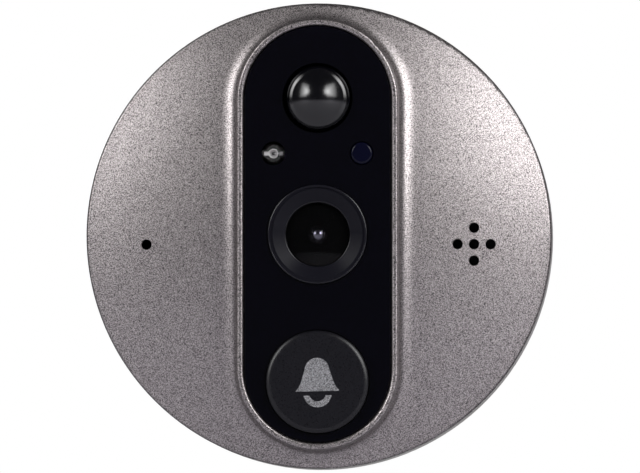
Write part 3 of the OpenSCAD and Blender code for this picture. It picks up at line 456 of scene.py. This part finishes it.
def make_collar_flare():
    """Painted flare that rises from the domed face to the collar, all the way round."""
    panel_low, panel_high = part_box("front_panel")
    panel_w = (panel_high.x - panel_low.x) / 2
    wall_w = panel_w + COLLAR_EDGE
    length = (panel_high.z - panel_low.z) / 2 - panel_w
    crown_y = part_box("front_cover")[0].y + COLLAR_RISE
    spread, reach, depth, lap = 2.6 * MM, 2.55 * MM, 0.4 * MM, 0.05 * MM
    narrower_at_ends = 0.25
    # A slow rise over the whole width and a steep one next to the collar
    rise, rise_power = 0.71 * MM, 3
    wall, wall_power = 0.5 * MM, 10
    sink = rise * (1 - reach / spread) ** rise_power + 0.004 * MM
    section_steps, straight_steps, end_steps = 24, 60, 72
    # Distance from the collar and height over the face, from inside the collar out to the foot
    section = []
    for step in range(section_steps + 1):
        away = -lap + (reach + lap) * step / section_steps
        run = 1 - away / spread
        section.append((away, rise * run ** rise_power + wall * run ** wall_power - sink))
    # The foot goes on under the face, so that its edge doesn't catch the light
    section += [(reach + lap, -2 * sink), (reach + 2 * lap, -4 * sink)]
    section += [(reach + 3 * lap, -depth), (-lap, -depth)]
    shape = bmesh.new()
    ring = [shape.verts.new((wall_w + away, -height, -length)) for away, height in section]
    ring += [shape.edges.new(ends) for ends in zip(ring, ring[1:] + ring[:1])]
    for way in (1, -1):
        straight = (0.0, 2 * way * length / straight_steps, straight_steps)
        end = (-math.pi, 0.0, end_steps)
        for angle, travel, steps in (straight, end):
            made = bmesh.ops.spin(
                shape,
                geom=ring,
                cent=(0, 0, way * length),
                axis=INTO_DOOR,
                dvec=(0, 0, travel),
                angle=angle,
                steps=steps,
                use_merge=False,
            )
            ring = made["geom_last"]
    for vert in shape.verts:
        past_end = abs(vert.co.z) - length
        if past_end > 0:
            out = math.hypot(vert.co.x, past_end)
            kept = 1 - narrower_at_ends * (past_end / out) ** 2 * max(0, out - wall_w) / out
            end_z = math.copysign(length, vert.co.z)
            vert.co.x, vert.co.z = vert.co.x * kept, end_z + (vert.co.z - end_z) * kept
        across = vert.co.x ** 2 + vert.co.z ** 2
        vert.co.y += crown_y + FACE_RADIUS - math.sqrt(FACE_RADIUS ** 2 - across)
    add_piece("collar_flare", shape, FINISHES["cover_paint"], UNIT)


def make_button_rim():
    """Rounded rim over the bevel around the button's face."""
    face_r, under, roundness = BUTTON_RADIUS - BUTTON_BEVEL, 0.08 * MM, 1.33
    profile = []
    for turn in range(0, QUARTER + 1, 6):
        a = math.radians(turn)
        out, down = math.sin(a) ** roundness, 1 - math.cos(a) ** roundness
        profile.append((face_r + BUTTON_BEVEL * out, button_face_y + BUTTON_BEVEL_DROP * down))
    profile.append((BUTTON_RADIUS - under, button_face_y + BUTTON_BEVEL_DROP + under))
    profile.append((face_r - under, button_face_y + under))
    shape = turned(profile, button_axis, 160)
    add_piece("button_rim", shape, FINISHES["button_black"], BUTTON)


def make_button_boot():
    """Silicone boot: two rings joined by a drawn-in bellows web."""
    low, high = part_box("button_seal")
    out_r = (high.x - low.x) / 2
    in_r, web, ring, round_off = out_r - 1.3 * MM, 0.5 * MM, 0.8 * MM, 0.1 * MM
    back, front = high.y, low.y
    waist = (back + front) / 2
    shape = turned(
        [
            (in_r, back),
            (out_r, back),
            (out_r, back - ring),
            (in_r + 2 * web, back - ring),
            (in_r + web, waist),
            (in_r + 2 * web, front + ring),
            (out_r, front + ring),
            (out_r, front),
            (in_r, front),
            (in_r, front + ring - web),
            (in_r + web, front + ring),
            (in_r, waist),
            (in_r + web, back - ring),
            (in_r, back - ring + web),
        ],
        button_axis,
    )
    sharp = [e for e in shape.edges if is_level(e)]
    bmesh.ops.bevel(shape, geom=sharp, offset=round_off, affect="EDGES", segments=2, profile=0.5, material=-1)
    boot = add_piece("silicone_boot", shape, FINISHES["silicone"], UNIT)
    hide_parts("button_seal")
    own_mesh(boot)


def make_snap_spring():
    """Snap dome of the switch: a thin domed disc."""
    low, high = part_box("switch_dome")
    r, rise, thickness = (high.x - low.x) / 2, high.y - low.y, 0.1 * MM
    curve = (r * r + rise * rise) / (2 * rise)
    shape = bmesh.new()
    bmesh.ops.create_uvsphere(shape, u_segments=48, v_segments=64, radius=curve)
    bmesh.ops.rotate(shape, verts=shape.verts, cent=(0, 0, 0), matrix=Matrix.Rotation(math.pi / 2, 3, "X"))
    bmesh.ops.translate(shape, verts=shape.verts, vec=(button_axis.x, low.y + curve, button_axis.z))
    bmesh.ops.bisect_plane(
        shape,
        geom=shape.verts[:] + shape.edges[:] + shape.faces[:],
        plane_co=(0, high.y, 0),
        plane_no=INTO_DOOR,
        clear_outer=True,
    )
    bmesh.ops.recalc_face_normals(shape, faces=shape.faces)
    bmesh.ops.solidify(shape, geom=shape.faces[:], thickness=thickness)
    spring = add_piece("snap_spring", shape, FINISHES["steel"], UNIT)
    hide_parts("switch_dome")
    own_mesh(spring)


def make_door_pad():
    """Die-cut foam ring that lies against the door, with soft rounded edges."""
    low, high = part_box("mounting_pad")
    out_r = (high.x - low.x) / 2
    room, round_off, same_radius = 1.7 * MM, 0.25 * MM, 1e-6
    in_r = mounts["spigot"]["dims"]["r_mm"] * MM + room
    shape = turned(
        [(in_r, low.y), (out_r, low.y), (out_r, high.y), ((in_r + out_r) / 2, high.y), (in_r, high.y)],
        Vector((0, 0, 0)),
        steps=128,
    )
    rims = []
    for edge in filter(is_level, shape.edges):
        start, end = (math.hypot(v.co.x, v.co.z) for v in edge.verts)
        if abs(start - end) < same_radius and min(abs(start - in_r), abs(start - out_r)) < same_radius:
            rims.append(edge)
    bmesh.ops.bevel(shape, geom=rims, offset=round_off, affect="EDGES", segments=4, profile=0.5, material=-1)
    pad = add_piece("door_pad", shape, FINISHES["foam"], UNIT)
    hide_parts("mounting_pad")


def make_insert_threads():
    """Thread crests inside the two brass inserts."""
    low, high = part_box("threaded_inserts")
    spacing = mounts["fixing_screws"]["dims"]["spacing_x_mm"] * MM
    bore = mounts["fixing_screws"]["dims"]["hole_r_mm"] * MM
    pitch, crest, root = 0.5 * MM, 0.12 * MM, 0.02 * MM
    crest_at, width = 0.2 * pitch, 0.4 * pitch
    steps_per_turn = 32
    turns = int((high.y - low.y - pitch) / pitch)
    for name, side in (("thread_left", -1), ("thread_right", 1)):
        shape = bmesh.new()
        x = side * spacing / 2
        y = low.y + pitch / 2
        section = ((bore + root, y), (bore - crest, y + crest_at), (bore + root, y + width))
        start = shape.faces.new([shape.verts.new((x + r, depth, 0)) for r, depth in section])
        bmesh.ops.spin(
            shape,
            geom=[start],
            cent=(x, 0, 0),
            axis=INTO_DOOR,
            dvec=(0, pitch / steps_per_turn, 0),
            angle=2 * math.pi * turns,
            steps=steps_per_turn * turns,
            use_merge=False,
        )
        add_piece(name, shape, FINISHES["brass"], UNIT)


def make_bezel_edges():
    """Polished edges of the matt bezel: its outer lip, and a fine round ledge where the funnel ends."""
    front_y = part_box("lens_bezel")[0].y
    axis = middle("lens_bezel")
    lip_r, lip_y = BEZEL_RADIUS - LIP_ROUND, front_y + LIP_ROUND
    over, under = LIP_ROUND + 0.006 * MM, LIP_ROUND - 0.06 * MM
    ledge_r, ledge_y = THROAT_RADIUS + 0.1 * MM, front_y + THROAT_DEPTH - 0.08 * MM
    ledge_round = 0.14 * MM
    lip, ledge = [], []
    for turn in range(0, QUARTER + 1, 10):
        a = math.radians(turn)
        lip.append((lip_r + over * math.sin(a), lip_y - over * math.cos(a)))
        ledge.append((ledge_r - ledge_round * math.sin(a), ledge_y + ledge_round * (1 - math.cos(a))))
    for turn in range(QUARTER, -1, -30):
        a = math.radians(turn)
        lip.append((lip_r + under * math.sin(a), lip_y - under * math.cos(a)))
    ledge += [(ledge_r, ledge_y + ledge_round), (ledge_r + ledge_round, ledge_y)]
    for name, profile in (("bezel_lip", lip), ("bezel_ledge", ledge)):
        add_piece(name, turned(profile, axis, 160), POLISHED_EDGE, UNIT)


def make_lens_meniscus():
    """Small second glass in the front glass's hollow back, which mirrors the lights as dots."""
    seat_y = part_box("lens_front_element")[1].y
    hollow_depth = HOLLOW_CURVE - math.sqrt(HOLLOW_CURVE ** 2 - HOLLOW_WIDTH ** 2 / 4)
    curve, gap, thickness, steps = 1.27 * MM, 0.01 * MM, 0.06 * MM, 16
    centre_y = seat_y - hollow_depth + gap + curve
    edge = math.acos((centre_y - seat_y) / curve)
    turns = [edge * step / steps for step in range(steps + 1)]
    profile = [(curve * math.sin(a), centre_y - curve * math.cos(a)) for a in turns]
    profile += [(r, y + thickness) for r, y in reversed(profile)]
    shape = turned(profile, middle("lens_front_element"), to_axis=True)
    add_piece("lens_meniscus", shape, BARE_GLASS, UNIT)


def make_lamp_body():
    """Clear lamp body cast round its lead frame, so that no hollow shows between the two."""
    low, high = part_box("ir_led")
    rim_r, rim_y = (high.x - low.x) / 2, high.y - LAMP_RIM
    profile = []
    for turn in range(0, QUARTER + 1, 5):
        a = math.radians(turn)
        profile.append((LAMP_RADIUS * math.sin(a), low.y + LAMP_RADIUS * (1 - math.cos(a))))
    profile += [(LAMP_RADIUS, rim_y), (rim_r, rim_y), (rim_r, high.y), (0, high.y)]
    shape = turned(profile, lamp_axis, 64, to_axis=True)
    body = add_piece("lamp_body", shape, FINISHES["clear_epoxy"], UNIT)
    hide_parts("ir_led")


def make_lamp_inside():
    """Crystal in the lamp's cup and the fine wire from it to the other post."""
    cup_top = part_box("lead_frames")[0].y
    crystal_w, crystal_flat, crystal_edge, crystal_y = 0.34 * MM, 0.4, 0.02 * MM, cup_top + 0.2 * MM
    wire_r, wire_bend, wire_y = 0.025 * MM, 0.5 * MM, cup_top + 0.14 * MM
    crystal = bmesh.new()
    bmesh.ops.create_cube(crystal, size=crystal_w)
    bmesh.ops.scale(crystal, verts=crystal.verts, vec=(1, crystal_flat, 1))
    bmesh.ops.bevel(
        crystal,
        geom=crystal.edges[:],
        offset=crystal_edge,
        affect="EDGES",
        segments=2,
        profile=0.5,
        material=-1,
    )
    bmesh.ops.translate(crystal, verts=crystal.verts, vec=(lamp_axis.x, crystal_y, lamp_axis.z))
    add_piece("lamp_crystal", crystal, DIE, UNIT, smooth=False)
    wire = bmesh.new()
    bmesh.ops.create_circle(wire, cap_ends=True, radius=wire_r, segments=10)
    bmesh.ops.rotate(wire, verts=wire.verts, cent=(0, 0, 0), matrix=Matrix.Rotation(math.pi / 2, 3, "X"))
    bmesh.ops.translate(wire, verts=wire.verts, vec=(lamp_axis.x, wire_y, lamp_axis.z))
    bmesh.ops.spin(
        wire,
        geom=wire.faces[:],
        cent=(lamp_axis.x + wire_bend, wire_y, lamp_axis.z),
        axis=(0, 0, 1),
        angle=math.pi,
        steps=24,
        use_merge=False,
    )
    add_piece("bond_wire", wire, BOND_METAL, UNIT)


make_motion_lens()
make_collar_flare()
make_bell_sign()
make_button_rim()
make_button_boot()
make_snap_spring()
make_door_pad()
make_insert_threads()
make_bezel_edges()
make_lens_meniscus()
make_lamp_body()
make_lamp_inside()


# Studio
FLOOR_WIDTH, FLOOR_FRONT, FLOOR_DROP = 3.0, 0.62, 0.049
LIGHT_DISTANCE = 0.8
# Two soft lights, each of boxes that lie over each other so that it fades outwards: the angles
# across and up that a box covers, seen from the object, and its radiance
SOFTBOXES = (
    ((34, 61), (5, 44), 3.2),
    ((29, 53), (9, 38), 2.4),
    ((25, 46), (13, 33), 2.6),
    ((24, 41), (16, 29), 3.8),
    ((-63, -43), (5, 44), 2.5),
    ((-57, -40), (9, 38), 2.4),
    ((-52, -36), (13, 33), 2.9),
    ((-47, -34), (16, 29), 3.4),
)
DIM_STUDIO, WHITE = (0.05, 0.05, 0.053, 1), (1, 1, 1, 1)
# How straight back into the door a mirrored or refracted ray goes where it starts to see white
BEHIND_FROM, BEHIND_TO = 0.94, 0.97
CAMERA_SENSOR, CAMERA_LENS, CAMERA_DISTANCE = 36.0, 844.6, 2.0
CAMERA_SIDE, CAMERA_RISE = 1.8, -1.9
CAMERA_TARGET = Vector((0.0001, -0.0096, -0.00005))


def make_floor():
    shape = bmesh.new()
    bmesh.ops.create_grid(shape, x_segments=1, y_segments=1, size=0.5)
    bmesh.ops.scale(shape, verts=shape.verts, vec=(FLOOR_WIDTH, FLOOR_FRONT, 1))
    floor_z = cad_box[0].z - FLOOR_DROP
    bmesh.ops.translate(shape, verts=shape.verts, vec=(0, -FLOOR_FRONT / 2, floor_z))
    mesh = bpy.data.meshes.new("floor")
    shape.to_mesh(mesh)
    shape.free()
    mesh.materials.append(finish("pale floor", (0.82, 0.807, 0.88), 0.7, FILM, 3.0, 0.98, 1.02))
    floor = bpy.data.objects.new("floor", mesh)
    bpy.context.scene.collection.objects.link(floor)


def direction(azimuth, elevation):
    """Unit vector from the object: azimuth 0 is towards the visitor, positive to the right."""
    a, e = math.radians(azimuth), math.radians(elevation)
    return Vector((math.sin(a) * math.cos(e), -math.cos(a) * math.cos(e), math.sin(e)))


def softbox(name, azimuths, elevations, radiance):
    """A soft rectangular light that covers the given angles, seen from the object."""
    width, height = (
        2 * LIGHT_DISTANCE * math.tan(math.radians(last - first) / 2)
        for first, last in (azimuths, elevations)
    )
    lamp = bpy.data.lights.new(name, "AREA")
    lamp.shape = "RECTANGLE"
    lamp.size, lamp.size_y = width, height
    lamp.energy = radiance * math.pi * width * height
    box = bpy.data.objects.new(name, lamp)
    away = direction(sum(azimuths) / 2, sum(elevations) / 2)
    box.location = away * LIGHT_DISTANCE
    box.rotation_euler = away.to_track_quat("Z", "Y").to_euler()
    box.visible_camera = False
    bpy.context.scene.collection.objects.link(box)


def make_world():
    """Dim studio, with a white background where the camera, or a mirror or glass, looks past the object."""
    world = bpy.data.worlds.new("studio")
    bpy.context.scene.world = world
    world.use_nodes = True
    tree = world.node_tree
    out = tree.nodes["World Output"]
    dim = tree.nodes["Background"]
    dim.inputs["Color"].default_value = DIM_STUDIO
    white = tree.nodes.new("ShaderNodeBackground")
    white.inputs["Color"].default_value = WHITE
    path = tree.nodes.new("ShaderNodeLightPath")
    place = tree.nodes.new("ShaderNodeTexCoord")
    split = tree.nodes.new("ShaderNodeSeparateXYZ")
    tree.links.new(place.outputs["Generated"], split.inputs["Vector"])
    behind = map_range(tree, split.outputs["Y"], BEHIND_FROM, BEHIND_TO, 0.0, 1.0)

    def combine(operation, a, b):
        joined = tree.nodes.new("ShaderNodeMath")
        joined.operation = operation
        tree.links.new(a, joined.inputs[0])
        tree.links.new(b, joined.inputs[1])
        return joined.outputs["Value"]

    seen = combine("MAXIMUM", path.outputs["Is Glossy Ray"], path.outputs["Is Transmission Ray"])
    seen = combine("MULTIPLY", seen, behind)
    seen = combine("MAXIMUM", seen, path.outputs["Is Camera Ray"])
    mix = tree.nodes.new("ShaderNodeMixShader")
    tree.links.new(seen, mix.inputs["Fac"])
    tree.links.new(dim.outputs["Background"], mix.inputs[1])
    tree.links.new(white.outputs["Background"], mix.inputs[2])
    tree.links.new(mix.outputs["Shader"], out.inputs["Surface"])


def make_camera():
    lens = bpy.data.cameras.new("camera")
    lens.sensor_width = CAMERA_SENSOR
    lens.lens = CAMERA_LENS
    camera = bpy.data.objects.new("camera", lens)
    away = direction(CAMERA_SIDE, CAMERA_RISE)
    camera.location = CAMERA_TARGET + away * CAMERA_DISTANCE
    camera.rotation_euler = away.to_track_quat("Z", "Y").to_euler()
    bpy.context.scene.collection.objects.link(camera)
    bpy.context.scene.camera = camera


make_floor()
for number, (azimuths, elevations, radiance) in enumerate(SOFTBOXES):
    softbox(f"softbox {number}", azimuths, elevations, radiance)
make_world()
make_camera()
bpy.context.scene.view_settings.view_transform = "Standard"
